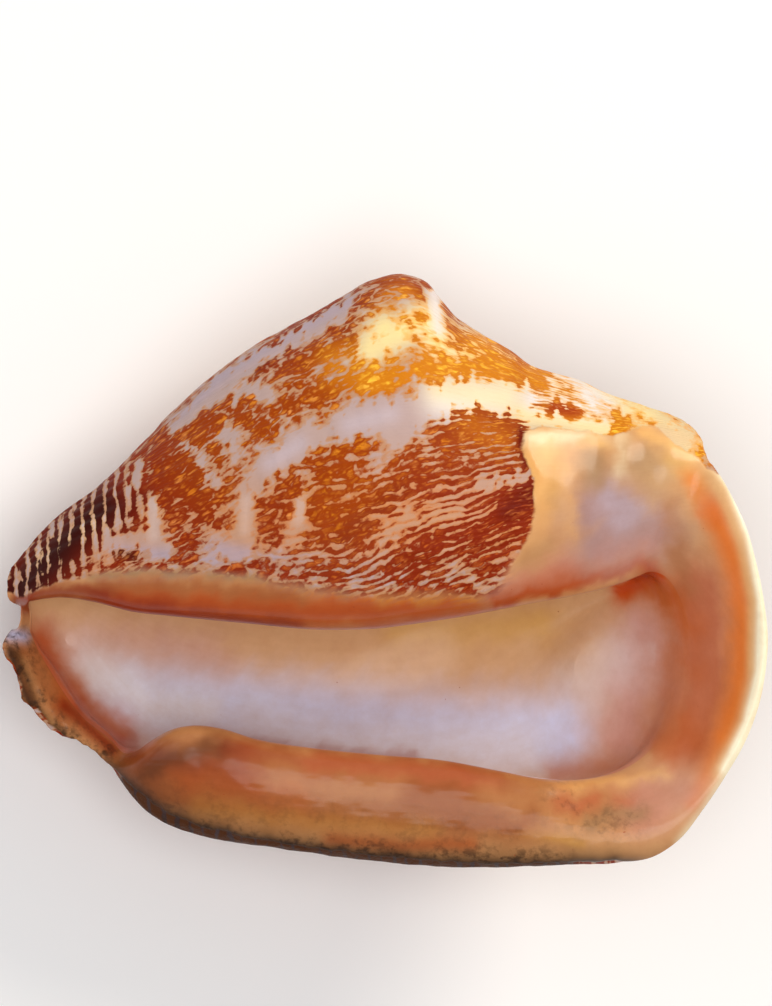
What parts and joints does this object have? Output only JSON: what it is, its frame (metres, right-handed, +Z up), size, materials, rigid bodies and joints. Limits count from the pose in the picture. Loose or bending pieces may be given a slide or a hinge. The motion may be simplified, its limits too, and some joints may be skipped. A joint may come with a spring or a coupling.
{
  "type": "conch shell",
  "caption": "Large natural conch shell with a wide flared lip, an open mouth and a knobbed shoulder, lying on its back as a decoration.",
  "frame": {"origin": "on the ground under the middle of the shell's bounding box", "axes": "+Z up, with the shell resting on its knobbed back and its mouth facing up; +X along the shell from the narrow front canal towards the spire and the flared lobe; +Y across it, from the outer lip towards the big shoulder knob"},
  "size_m": [0.142, 0.1134, 0.0672],
  "materials": {
    "shell": "glossy natural shell, mottled brown on cream outside, pale porcelain-like inside"
  },
  "bodies": {
    "root": {"conch_shell": "shell"}
  },
  "joints": []
}
